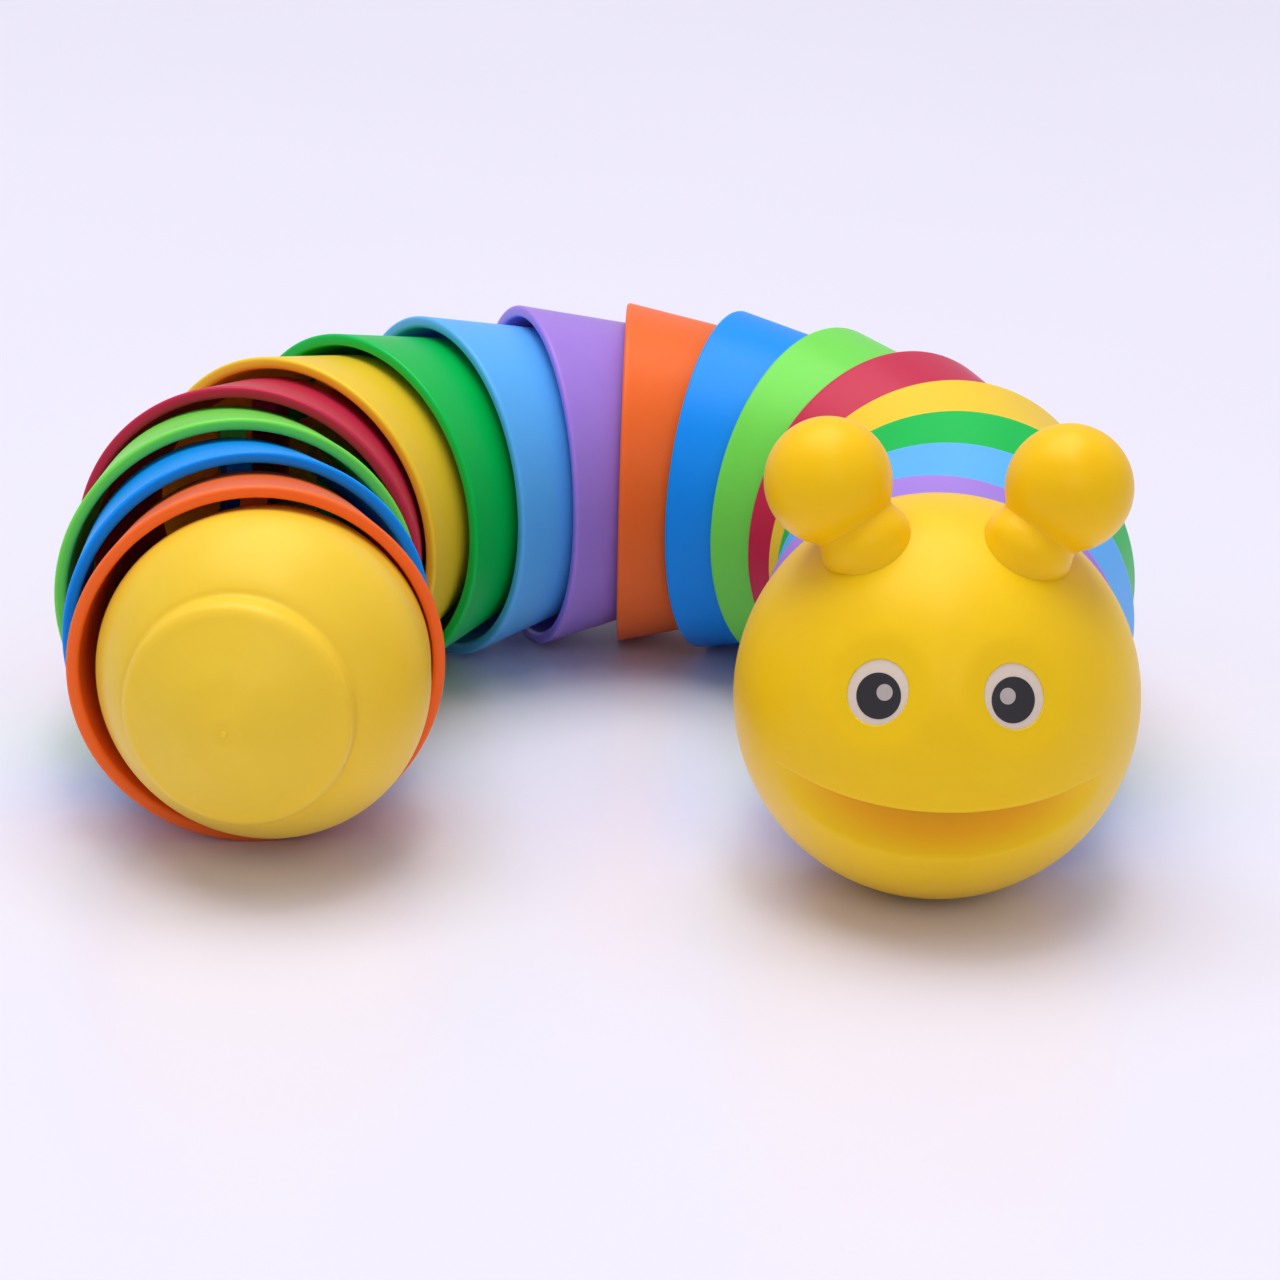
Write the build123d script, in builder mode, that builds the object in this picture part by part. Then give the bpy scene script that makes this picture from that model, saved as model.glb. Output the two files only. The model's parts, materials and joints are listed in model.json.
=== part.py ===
from build123d import *
import os
from math import asin, cos, degrees, radians, sin, sqrt, tan

# A jointed fidget worm: a hollow ball head with two feelers, sixteen
# nested cone segments and a domed tail cap. Each piece snaps onto the upright
# bar of the piece behind it, so the whole chain swings from side to side.
#
# Millimetres, +Z up. The toy lies curled on a table at z = 0, the head and the
# tail cap both pointing toward -Y, and the middle of its outline at the origin.

os.makedirs("parts", exist_ok=True)

# ---------------------------------------------------------------------------
# Driving dimensions
# ---------------------------------------------------------------------------

# One segment. Its rim is the wide open end, which points toward the tail.
rim_radius = 18.0
wall = 1.2
cone_angle = 12.5
segment_length = 15.0
rim_outer_round = 0.35
rim_inner_round = 0.5
shoulder_round = 1.0
shoulder_inner_round = 0.15

# The chain. Distances along it are measured from a rim toward the head.
pitch = 10.5
hinge_behind_rim = 4.5
bar_station = pitch - hinge_behind_rim

# Snap joint: an upright bar in one piece, a C-shaped clip on the next.
bar_radius = 1.25
clip_bore_radius = 1.33
clip_radius = 2.6
clip_half_height = 4.5
clip_mouth = 2.0

# The upright web that carries the bar and the clip inside every piece.
web_thickness = 2.5
web_rear = 1.6
web_front = 11.0
web_step_station = 6.3
web_step_height = 10.5
window_rear = 3.0
window_half_height = 4.9
wall_bite = 0.6

# The head ball.
head_radius = 19.0
head_wall = 1.2
head_ahead_of_rim = 4.5

# The smile: a recess under a lip that lies in a plane tipped nose-down.
mouth_tip = 15.0
mouth_lip_height = 0.4
mouth_depth = 2.2
mouth_drop = 5.8
mouth_knee_height = -2.8
mouth_knee_depth = 1.6
mouth_swing_behind = 9.0
mouth_backing = 1.2

# Feelers, one each side of the crown.
feeler_base = (4.8, 7.5, 16.7)
feeler_ball_at = (3.5, 11.0, 21.9)
feeler_ball_radius = 5.9
feeler_foot_radius = 4.3
feeler_neck_radius = 3.2
feeler_foot_height = 3.2
feeler_foot_round = 0.5
peg_radius = 2.0
peg_length = 3.4
press_gap = 0.02

# Eyes: a white oval let into the head, with a round black pupil printed on it.
eye_at = (16.4, 6.25, 6.5)
eye_width = 5.9
eye_height = 6.3
eye_lean = 24.0
eye_depth = 0.8
eye_sunk = 0.12
pupil_radius = 2.1
pupil_depth = 0.45
pupil_sunk = 0.08
pupil_inward = 0.15
pupil_down = 0.3
glint_radius = 0.75
glint_inward = 0.7
glint_up = 0.1

# Tail cap, from its front edge back: cone, rounded shoulder, step, end button.
cap_shoulder_station = 9.5
cap_bulge_station = 4.5
cap_bulge_radius = 15.1
cap_step_station = -0.9
cap_step_radius = 11.8
cap_button_radius = 11.1
cap_edge_station = -3.1
cap_button_round = 1.2
cap_end_station = -8.2
cap_dish_radius = 3.0
cap_dish_depth = 0.35
cap_gate_radius = 0.35
cap_gate_height = 0.15

# How the toy lies: the turn from each piece to the next one behind it, from the
# head back to the tail cap, and where the head stands and points.
curl_turns = [-9, 2, 5, 20, 20, 17, 17, 18, 19, 14, 14, 12, 20, 20, 4, -6, -15]
head_heading = 269.3
head_rim_at = (32.00, -29.05)

# The rounded rims stand on the table, and so does the head ball.
rim_lift = tan(radians(cone_angle)) + 1 / cos(radians(cone_angle)) - 1
axis_height = rim_radius - rim_outer_round * rim_lift
head_above_axis = head_radius - axis_height

segment_colours = ["purple", "sky_blue", "green", "yellow", "red", "lime", "blue", "orange"]


def cone_radius(station):
    """Outer radius of a segment at a distance from its rim toward the head."""
    return rim_radius - station * tan(radians(cone_angle))


def frame_at(x, y, heading):
    """Level plane on the chain's axis: local x toward the head, local z up."""
    toward_head = (cos(radians(heading)), sin(radians(heading)), 0)
    return Plane(origin=(x, y, axis_height), x_dir=toward_head, z_dir=(0, 0, 1))


def upright(level):
    """The standing plane along the chain: local x toward the head, local y up."""
    return Plane(origin=level.origin, x_dir=level.x_dir, z_dir=-level.y_dir)


def chain_frames():
    """The frame of every rim, from the head to the tail cap."""
    x, y = head_rim_at
    heading = head_heading
    frames = [frame_at(x, y, heading)]
    for turn in curl_turns:
        x -= hinge_behind_rim * cos(radians(heading))
        y -= hinge_behind_rim * sin(radians(heading))
        heading += turn
        x -= bar_station * cos(radians(heading))
        y -= bar_station * sin(radians(heading))
        frames.append(frame_at(x, y, heading))
    return frames


def chain_axis(level):
    """The chain's own centre line at one piece."""
    return Axis(level.origin, level.x_dir)


def skirt_section(level):
    """Half section of a segment's cone wall, open at both ends."""
    wall_across = wall / cos(radians(cone_angle))
    with BuildSketch(level) as section:
        with BuildLine():
            Polyline(
                (0, cone_radius(0)),
                (segment_length, cone_radius(segment_length)),
                (segment_length, cone_radius(segment_length) - wall_across),
                (0, cone_radius(0) - wall_across),
                close=True,
            )
        make_face()
        fillet(section.vertices().group_by(Axis.X)[-1].sort_by(Axis.Y)[-1], radius=shoulder_round)
        fillet(section.vertices().group_by(Axis.X)[-1].sort_by(Axis.Y)[0], radius=shoulder_inner_round)
        fillet(section.vertices().group_by(Axis.X)[0].sort_by(Axis.Y)[-1], radius=rim_outer_round)
        fillet(section.vertices().group_by(Axis.X)[0].sort_by(Axis.Y)[0], radius=rim_inner_round)
    return section.sketch


def web_outline(level, top, bottom, window=True):
    """Standing web along the chain. It is stepped back at the rear, clear of the
    shoulder of the piece behind. top and bottom are (rear, front) heights that
    bite into the wall."""
    with BuildSketch(upright(level)) as outline:
        with BuildLine():
            Polyline(
                (web_rear, web_step_height),
                (web_step_station, web_step_height),
                (web_step_station, top[0]),
                (web_front, top[1]),
                (web_front, -bottom[1]),
                (web_step_station, -bottom[0]),
                (web_step_station, -web_step_height),
                (web_rear, -web_step_height),
                close=True,
            )
        make_face()
        if window:
            with Locations((window_rear, 0)):
                Rectangle(
                    web_front,
                    2 * window_half_height,
                    align=(Align.MIN, Align.CENTER),
                    mode=Mode.SUBTRACT,
                )
    return outline.sketch


def bar_outline(level):
    """Round upright bar across the window of the web, on the hinge line ahead."""
    with BuildSketch(level) as outline:
        with Locations((bar_station, 0)):
            Circle(bar_radius)
    return outline.sketch


def clip_outline(level):
    """Tongue and C-shaped clip that reach back to the bar of the piece behind."""
    with BuildSketch(level) as outline:
        with Locations((-hinge_behind_rim, 0)):
            Circle(clip_radius)
        with Locations(((window_rear - hinge_behind_rim) / 2, 0)):
            Rectangle(window_rear + hinge_behind_rim, web_thickness)
        with Locations((-hinge_behind_rim, 0)):
            Circle(clip_bore_radius, mode=Mode.SUBTRACT)
            Rectangle(
                2 * clip_radius,
                clip_mouth,
                align=(Align.MAX, Align.CENTER),
                mode=Mode.SUBTRACT,
            )
    return outline.sketch


# ---------------------------------------------------------------------------
# The sixteen segments
# ---------------------------------------------------------------------------

frames = chain_frames()
head_frame = frames[0]
tail_frame = frames[-1]
segment_reach = (
    cone_radius(web_step_station) - wall_bite,
    cone_radius(web_front) - wall_bite,
)

for number, level in enumerate(frames[1:-1], start=1):
    colour = segment_colours[(number - 1) % len(segment_colours)]
    with BuildPart() as segment:
        revolve(skirt_section(level), axis=chain_axis(level))
        extrude(web_outline(level, segment_reach, segment_reach), web_thickness / 2, both=True)
        extrude(bar_outline(level), window_half_height + wall_bite, both=True)
        extrude(clip_outline(level), clip_half_height, both=True)
    segment.part.label = f"segment_{number:02d}_{colour}"
    export_step(segment.part, f"parts/{segment.part.label}.step")

# ---------------------------------------------------------------------------
# Tail cap
# ---------------------------------------------------------------------------


def dome_arc(edge_station, edge_radius, end_station):
    """Round end of the cap, from its edge to the centre line."""
    rise = edge_station - end_station
    dome_radius = (edge_radius**2 + rise**2) / (2 * rise)
    spread = degrees(asin(edge_radius / dome_radius))
    return CenterArc((end_station + dome_radius, 0), dome_radius, 180 - spread, spread)


def cap_section(level, thinner):
    """Half section of the solid cap, or of its hollow when made thinner."""
    front_radius = cone_radius(segment_length) - thinner
    with BuildSketch(level) as section:
        with BuildLine():
            front = Line(
                (segment_length, front_radius),
                (cap_shoulder_station, cone_radius(cap_shoulder_station) - thinner),
            )
            shoulder = Spline(
                front @ 1,
                (cap_bulge_station, cap_bulge_radius - thinner),
                (cap_step_station + thinner, cap_step_radius - thinner),
                tangents=(front % 1, Vector(-0.45, -1)),
            )
            Line(shoulder @ 1, (cap_step_station + thinner, cap_button_radius - thinner))
            side = Line(
                (cap_step_station + thinner, cap_button_radius - thinner),
                (cap_edge_station + thinner, cap_button_radius - thinner),
            )
            dome = dome_arc(
                cap_edge_station + thinner,
                cap_button_radius - thinner,
                cap_end_station + thinner,
            )
            Polyline(dome @ 1, (segment_length, 0), front @ 0)
        make_face()
        edge = section.vertices().sort_by_distance(side @ 1)[0]
        fillet(edge, radius=cap_button_round)
    return section.sketch


def dish_section(level):
    """Half section of the shallow dish round the moulding gate on the end."""
    with BuildSketch(level) as dish:
        with Locations((cap_end_station - cap_dish_radius + cap_dish_depth, 0)):
            Circle(cap_dish_radius)
            Rectangle(
                2 * cap_dish_radius,
                cap_dish_radius,
                align=(Align.CENTER, Align.MIN),
                mode=Mode.INTERSECT,
            )
    return dish.sketch


cap_reach = (cap_bulge_radius - wall_bite, cap_bulge_radius - wall_bite)
gate_level = Plane(
    origin=tail_frame.from_local_coords((cap_end_station + cap_dish_depth - cap_gate_height, 0, 0)),
    x_dir=tail_frame.y_dir,
    z_dir=tail_frame.x_dir,
)

with BuildPart() as tail_cap:
    revolve(cap_section(tail_frame, 0), axis=chain_axis(tail_frame))
    revolve(cap_section(tail_frame, wall), axis=chain_axis(tail_frame), mode=Mode.SUBTRACT)
    revolve(dish_section(tail_frame), axis=chain_axis(tail_frame), mode=Mode.SUBTRACT)
    extrude(web_outline(tail_frame, cap_reach, cap_reach), web_thickness / 2, both=True)
    extrude(bar_outline(tail_frame), window_half_height + wall_bite, both=True)
    with BuildSketch(gate_level):
        Circle(cap_gate_radius)
    extrude(amount=2 * cap_gate_height)
tail_cap.part.label = "tail_cap"
export_step(tail_cap.part, "parts/tail_cap.step")

# ---------------------------------------------------------------------------
# Head
# ---------------------------------------------------------------------------

ball_level = Plane(
    origin=head_frame.from_local_coords((head_ahead_of_rim, 0, head_above_axis)),
    x_dir=head_frame.x_dir,
    z_dir=head_frame.z_dir,
)
ball_axis = Axis(ball_level.origin, ball_level.x_dir)


def in_head(point, mirrored=False):
    """World position of a point given from the ball's middle; left, or right."""
    forward, sideways, height = point
    if mirrored:
        sideways = -sideways
    return ball_level.from_local_coords((forward, sideways, height))


def facing(point, mirrored=False, turn=0):
    """Plane at a point of the ball, facing straight out, its local y uppermost."""
    outward = (in_head(point, mirrored) - ball_level.origin).normalized()
    across = ball_level.z_dir.cross(outward).normalized()
    across = across.rotate(Axis((0, 0, 0), outward), turn)
    return Plane(origin=ball_level.origin, x_dir=across, z_dir=outward)


def ball_slice(radius):
    """Half disc of the ball that stands ahead of the head's rim plane."""
    with BuildSketch(ball_level) as half:
        Circle(radius)
        with Locations((-head_ahead_of_rim, 0)):
            Rectangle(3 * radius, radius, align=(Align.MIN, Align.MIN), mode=Mode.INTERSECT)
    return half.sketch


# The lip plane of the smile, and the upright line its recess is swung about.
smile_across = ball_level.y_dir
smile_up = ball_level.z_dir.rotate(Axis((0, 0, 0), smile_across), mouth_tip)
smile_forward = smile_across.cross(smile_up)
smile_level = Plane(
    origin=ball_level.origin - smile_forward * mouth_swing_behind,
    x_dir=smile_forward,
    z_dir=-smile_across,
)
smile_axis = Axis(smile_level.origin, smile_level.y_dir)


def smile_section(grow):
    """Section of the recess under the lip, grown all round by an amount."""
    surface = head_radius + mouth_swing_behind
    lower_edge = mouth_lip_height - mouth_drop
    knee = sqrt(head_radius**2 - mouth_knee_height**2) + mouth_swing_behind
    low = sqrt(head_radius**2 - lower_edge**2) + mouth_swing_behind
    with BuildSketch(smile_level) as section:
        with BuildLine():
            floor = ThreePointArc(
                (surface - mouth_depth - grow, mouth_lip_height + grow),
                (knee - mouth_knee_depth - grow, mouth_knee_height),
                (low - grow, lower_edge - grow),
            )
            Polyline(
                floor @ 1,
                (surface + mouth_depth, lower_edge - grow),
                (surface + mouth_depth, mouth_lip_height + grow),
                floor @ 0,
            )
        make_face()
    return section.sketch


def feeler_plane(mirrored):
    """Plane across a feeler's stem where it meets the ball."""
    foot = in_head(feeler_base, mirrored)
    outward = (in_head(feeler_ball_at, mirrored) - foot).normalized()
    return Plane(origin=foot, x_dir=ball_level.x_dir, z_dir=outward)


def round_boss(plane, radius):
    """Disc for a peg, its socket or the backing round the socket."""
    with BuildSketch(plane) as disc:
        Circle(radius)
    return disc.sketch


def eye_oval(plane, grow=0.0):
    """White oval of an eye, or its outline grown by an amount."""
    with BuildSketch(plane) as oval:
        Ellipse(eye_width / 2 + grow, eye_height / 2 + grow)
    return oval.sketch


def pupil_disc(plane, mirrored):
    """Round pupil with a round hole that the white shows through as a glint."""
    toward_nose = 1 if mirrored else -1
    with BuildSketch(plane) as disc:
        with Locations((toward_nose * pupil_inward, -pupil_down)):
            Circle(pupil_radius)
        with Locations((toward_nose * glint_inward, glint_up)):
            Circle(glint_radius, mode=Mode.SUBTRACT)
    return disc.sketch


def ball_height(station):
    """Height of the ball's wall over its middle, at a station from the rim."""
    return sqrt((head_radius - wall_bite) ** 2 - (station - head_ahead_of_rim) ** 2)


head_reach_up = (
    ball_height(web_step_station) + head_above_axis,
    ball_height(web_front) + head_above_axis,
)
head_reach_down = (
    ball_height(web_step_station) - head_above_axis,
    ball_height(web_front) - head_above_axis,
)

sides = {"left": False, "right": True}
eye_floor = head_radius - eye_depth
pupil_floor = head_radius - pupil_depth

with BuildPart() as cavity:
    revolve(ball_slice(head_radius - head_wall), axis=ball_axis)
    revolve(smile_section(mouth_backing), axis=smile_axis, mode=Mode.SUBTRACT)
    for mirrored in sides.values():
        extrude(
            round_boss(feeler_plane(mirrored).offset(-peg_length - head_wall), peg_radius + head_wall),
            peg_length + 2 * head_wall,
            mode=Mode.SUBTRACT,
        )
        extrude(
            eye_oval(facing(eye_at, mirrored).offset(eye_floor - head_wall), head_wall),
            2 * head_wall,
            mode=Mode.SUBTRACT,
        )

with BuildPart() as head_shell:
    revolve(ball_slice(head_radius), axis=ball_axis)
    revolve(smile_section(0), axis=smile_axis, mode=Mode.SUBTRACT)
    add(cavity.part, mode=Mode.SUBTRACT)
    extrude(
        web_outline(head_frame, head_reach_up, head_reach_down, window=False),
        web_thickness / 2,
        both=True,
    )
    extrude(clip_outline(head_frame), clip_half_height, both=True)
    for mirrored in sides.values():
        lean = -eye_lean if mirrored else eye_lean
        extrude(
            eye_oval(facing(eye_at, mirrored, lean).offset(eye_floor)),
            2 * eye_depth,
            mode=Mode.SUBTRACT,
        )
        extrude(
            round_boss(feeler_plane(mirrored).offset(-peg_length), peg_radius + press_gap),
            2 * peg_length,
            mode=Mode.SUBTRACT,
        )
head_shell.part.label = "head_shell"
export_step(head_shell.part, "parts/head_shell.step")

# ---------------------------------------------------------------------------
# Feelers and eyes
# ---------------------------------------------------------------------------

stem = (Vector(feeler_ball_at) - Vector(feeler_base)).length
neck_top = stem - sqrt(feeler_ball_radius**2 - feeler_neck_radius**2)

for side, mirrored in sides.items():
    across_stem = feeler_plane(mirrored)
    along_stem = Plane(
        origin=across_stem.origin,
        x_dir=across_stem.x_dir,
        z_dir=-across_stem.y_dir,
    )
    with BuildPart() as feeler:
        with BuildSketch(along_stem):
            with BuildLine():
                Polyline(
                    (0, -feeler_foot_height),
                    (feeler_foot_radius, -feeler_foot_height),
                    (feeler_foot_radius, 0),
                )
                flare = Spline(
                    (feeler_foot_radius, 0),
                    (feeler_neck_radius, neck_top),
                    tangents=((-0.6, 1), (0, 1)),
                )
                knob = ThreePointArc(
                    flare @ 1,
                    (feeler_ball_radius, stem),
                    (0, stem + feeler_ball_radius),
                )
                Line(knob @ 1, (0, -feeler_foot_height))
            profile = make_face()
            fillet(profile.vertices().sort_by_distance(flare @ 0)[0], radius=feeler_foot_round)
        revolve(axis=Axis(along_stem.origin, along_stem.y_dir))
        revolve(ball_slice(head_radius), axis=ball_axis, mode=Mode.SUBTRACT)
        extrude(
            round_boss(across_stem.offset(-peg_length), peg_radius),
            peg_length + feeler_foot_height / 2,
        )
    feeler.part.label = f"feeler_{side}"
    export_step(feeler.part, f"parts/{feeler.part.label}.step")

for side, mirrored in sides.items():
    lean = -eye_lean if mirrored else eye_lean
    with BuildPart() as eye:
        extrude(eye_oval(facing(eye_at, mirrored, lean).offset(eye_floor), -press_gap), 2 * eye_depth)
        revolve(ball_slice(head_radius - eye_sunk), axis=ball_axis, mode=Mode.INTERSECT)
        extrude(
            pupil_disc(facing(eye_at, mirrored).offset(pupil_floor), mirrored),
            2 * pupil_depth,
            mode=Mode.SUBTRACT,
        )
    eye.part.label = f"eye_{side}"
    export_step(eye.part, f"parts/{eye.part.label}.step")

    with BuildPart() as pupil:
        extrude(
            pupil_disc(facing(eye_at, mirrored).offset(pupil_floor), mirrored),
            2 * pupil_depth,
        )
        revolve(ball_slice(head_radius - pupil_sunk), axis=ball_axis, mode=Mode.INTERSECT)
    pupil.part.label = f"pupil_{side}"
    export_step(pupil.part, f"parts/{pupil.part.label}.step")
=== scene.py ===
import json
import math

import bmesh
import bpy
from bpy.props import FloatProperty, PointerProperty, StringProperty
from mathutils import Matrix, Vector

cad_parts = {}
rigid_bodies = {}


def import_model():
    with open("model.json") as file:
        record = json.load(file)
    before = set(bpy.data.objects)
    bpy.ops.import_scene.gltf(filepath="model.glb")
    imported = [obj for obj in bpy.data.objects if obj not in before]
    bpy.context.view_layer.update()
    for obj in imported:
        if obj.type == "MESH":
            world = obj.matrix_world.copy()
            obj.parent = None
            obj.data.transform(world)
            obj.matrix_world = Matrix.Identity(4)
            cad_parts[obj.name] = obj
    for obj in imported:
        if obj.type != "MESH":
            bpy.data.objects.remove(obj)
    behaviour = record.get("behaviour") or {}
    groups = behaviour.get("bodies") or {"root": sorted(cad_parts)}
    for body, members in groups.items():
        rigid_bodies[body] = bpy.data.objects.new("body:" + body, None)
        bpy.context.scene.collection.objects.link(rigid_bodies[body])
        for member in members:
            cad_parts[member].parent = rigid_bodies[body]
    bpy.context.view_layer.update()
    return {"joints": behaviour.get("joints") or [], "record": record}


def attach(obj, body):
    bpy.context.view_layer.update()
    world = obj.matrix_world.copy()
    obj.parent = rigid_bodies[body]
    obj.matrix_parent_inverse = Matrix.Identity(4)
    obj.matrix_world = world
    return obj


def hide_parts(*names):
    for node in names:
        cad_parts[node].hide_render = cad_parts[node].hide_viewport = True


bl_info = {
    "name": "Fidget worm",
    "version": (1, 0, 0),
    "blender": (4, 5, 0),
    "location": "View3D > Sidebar > Fidget worm",
    "description": "Builds the moulded pieces of a jointed toy worm on its frame",
    "category": "Object",
}

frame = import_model()

MM = 0.001
HINGES = {frozenset((j["parent"], j["child"])): Vector(j["pos_m"]) for j in frame["joints"]}
CHAIN = ["head"] + [f"segment_{n:02d}" for n in range(1, 17)] + ["tail"]
NODE_OF = frame["record"]["behaviour"]["bodies"]
UP = Vector((0, 0, 1))

# Points round a turned piece, and the angle from which an edge is drawn sharp.
AROUND = 144
SHARP_FROM = math.radians(35)

# The standing web inside a piece: where it steps up to the wall and where it ends.
WEB_STEP = 6.3 * MM
WEB_FRONT = 11.0 * MM
BAR_HALF_HEIGHT = 5.5 * MM
CLIP_HALF_HEIGHT = 4.5 * MM


def length(name, millimetres, description):
    """A length property, stored in metres and given here in millimetres."""
    return FloatProperty(
        name=name,
        description=description,
        default=millimetres * MM,
        min=0.0,
        subtype="DISTANCE",
        unit="LENGTH",
    )


def turn(name, degrees, description):
    """An angle property, given here in degrees."""
    return FloatProperty(
        name=name,
        description=description,
        default=math.radians(degrees),
        subtype="ANGLE",
        unit="ROTATION",
    )


def colour(name, hex_value, description):
    """A colour kept as an sRGB hex value."""
    return StringProperty(name=name, description=description, default=hex_value)


class WormSizes(bpy.types.PropertyGroup):
    """Sizes of the moulded pieces."""

    rim_radius: length("Rim radius", 18.0, "Outer radius of a segment's wide rim")
    wall: length("Wall", 1.2, "Thickness of the moulded walls")
    cone: turn("Cone", 12.5, "Half angle of a segment's cone")
    segment_length: length("Segment length", 15.0, "Rim to front shoulder")
    pitch: length("Pitch", 10.5, "Rim to the next rim on the straight chain")
    hinge_behind_rim: length("Hinge behind rim", 4.5, "Hinge line behind a rim")
    web: length("Web", 2.5, "Thickness of the standing web inside each piece")
    bar: length("Bar", 1.25, "Radius of the upright hinge bar")
    clip: length("Clip", 2.6, "Outer radius of the clip round the bar")
    clip_bore: length("Clip bore", 1.33, "Inner radius of the clip")
    clip_mouth: length("Clip mouth", 2.0, "Width of the clip's opening")
    head_radius: length("Head radius", 19.0, "Radius of the head ball")
    head_ahead: length("Head ahead", 4.5, "Middle of the head ball ahead of its rim")
    head_turn: turn("Head turn", -0.7, "Turn of the head from straight ahead")
    tail_turn: turn("Tail turn", -8.7, "Turn of the tail cap from straight back")
    smile_tip: turn("Smile tip", 15.0, "How far the lip plane tips nose-down")
    smile_depth: length("Smile depth", 2.2, "Depth of the recess under the lip")
    smile_drop: length("Smile drop", 5.8, "Height of the recess under the lip")
    knob: length("Feeler knob", 5.9, "Radius of a feeler's round end")
    neck: length("Feeler neck", 3.65, "Radius of a feeler's stem")
    pupil: length("Pupil", 2.1, "Radius of a pupil")
    glint: length("Glint", 0.75, "Radius of the printed glint")


class WormColours(bpy.types.PropertyGroup):
    """Colours of the plastics, the inks and the table."""

    yellow: colour("Segment yellow", "#F6CD30", "Yellow segments")
    head: colour("Head yellow", "#F9CC14", "Head ball")
    cap: colour("Cap yellow", "#F7CF3A", "Tail cap")
    feeler: colour("Feeler yellow", "#FFC80A", "The two feelers")
    purple: colour("Purple", "#A682DF", "Purple segments")
    sky_blue: colour("Sky blue", "#5EB6FF", "Sky blue segments")
    green: colour("Green", "#00BE4E", "Green segments")
    red: colour("Red", "#C6284B", "Red segments")
    lime: colour("Lime", "#77E053", "Lime segments")
    blue: colour("Blue", "#0094FF", "Blue segments")
    orange: colour("Orange", "#FF7029", "Orange segments")
    eye_white: colour("Eye white", "#E1D0BC", "Printed white of the eyes")
    pupil: colour("Pupil black", "#262427", "Printed pupils")
    glint: colour("Glint", "#B9ADA6", "Printed glint in a pupil")
    # Painted shade: in the recess under the lip, the head's colour goes towards this darker yellow. It
    # stands in for the shade and bounced light there.
    mouth: colour("Mouth", "#EDA400", "Deeper yellow in the recess of the smile")
    table: colour("Table", "#EAE8F4", "Pale table top")


# ---------------------------------------------------------------------------
# Where each piece of the chain stands, read from the hinges of the frame
# ---------------------------------------------------------------------------


def station(index):
    """Rim centre and head-ward direction of piece `index` of the chain.

    A segment points from its rear hinge to its front hinge. The two end pieces
    have one hinge each and take their turn from the sizes.
    """
    sizes = bpy.context.scene.worm_sizes
    if index == 0:
        hinge = HINGES[frozenset(CHAIN[:2])]
        forward = Matrix.Rotation(sizes.head_turn, 3, "Z") @ Vector((0, -1, 0))
        return hinge + forward * sizes.hinge_behind_rim, forward
    ahead = HINGES[frozenset(CHAIN[index - 1 : index + 1])]
    if index == len(CHAIN) - 1:
        forward = Matrix.Rotation(sizes.tail_turn, 3, "Z") @ Vector((0, 1, 0))
        return ahead - forward * (sizes.pitch - sizes.hinge_behind_rim), forward
    behind = HINGES[frozenset(CHAIN[index : index + 2])]
    forward = (ahead - behind).normalized()
    return behind + forward * sizes.hinge_behind_rim, forward


def placed(origin, forward):
    """Local X forward, local Z up, local Y to the animal's left."""
    side = UP.cross(forward)
    axes = Matrix((forward, side, forward.cross(side))).transposed()
    return Matrix.Translation(origin) @ axes.to_4x4()


def head_matrix():
    """Frame of the head, with its origin in the middle of the ball."""
    sizes = bpy.context.scene.worm_sizes
    rim, forward = station(0)
    middle = rim + forward * sizes.head_ahead
    middle.z = sizes.head_radius
    return placed(middle, forward)


# ---------------------------------------------------------------------------
# Mesh makers
# ---------------------------------------------------------------------------


def rounded(corners):
    """Points of a closed outline whose corners (x, y, radius) are rounded off."""
    steps = 5
    points = []
    count = len(corners)
    for i, (x, y, radius) in enumerate(corners):
        here = Vector((x, y))
        before = (Vector(corners[i - 1][:2]) - here).normalized()
        after = (Vector(corners[(i + 1) % count][:2]) - here).normalized()
        half = before.angle(after) / 2
        reach = radius / math.tan(half)
        centre = here + (before + after).normalized() * (radius / math.sin(half))
        start = here + before * reach - centre
        end = here + after * reach - centre
        for k in range(steps + 1):
            points.append(centre + start.slerp(end, k / steps).normalized() * radius)
    return points


def with_support(points, gap):
    """Adds points a short way in from the ends of every long straight run."""
    full = []
    for i, here in enumerate(points):
        there = points[(i + 1) % len(points)]
        full.append(here)
        run = (there - here).length
        if run > 4 * gap:  # shorter runs are fine as they are
            full.append(here.lerp(there, gap / run))
            full.append(here.lerp(there, 1 - gap / run))
    return full


def smooth_run(points, steps=6):
    """A smooth line through the points (Catmull-Rom)."""
    run = [Vector(p) for p in points]
    run = [run[0] * 2 - run[1], *run, run[-1] * 2 - run[-2]]
    line = []
    for a, b, c, d in zip(run, run[1:], run[2:], run[3:]):
        for k in range(steps):
            t = k / steps
            bend = (2 * a - 5 * b + 4 * c - d) * t**2
            twist = (3 * b - a - 3 * c + d) * t**3
            line.append(0.5 * (2 * b + (c - a) * t + bend + twist))
    line.append(run[-2])
    return [tuple(p) for p in line]


def soft_min(a, b, blend):
    """The smaller of two lengths, with the corner between them rounded off."""
    h = max(blend - abs(a - b), 0.0) / blend
    return min(a, b) - h * h * blend / 4


def soft_step(value, low, high):
    """0 below low, 1 above high, smooth between."""
    t = min(max((value - low) / (high - low), 0.0), 1.0)
    return t * t * (3 - 2 * t)


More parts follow.
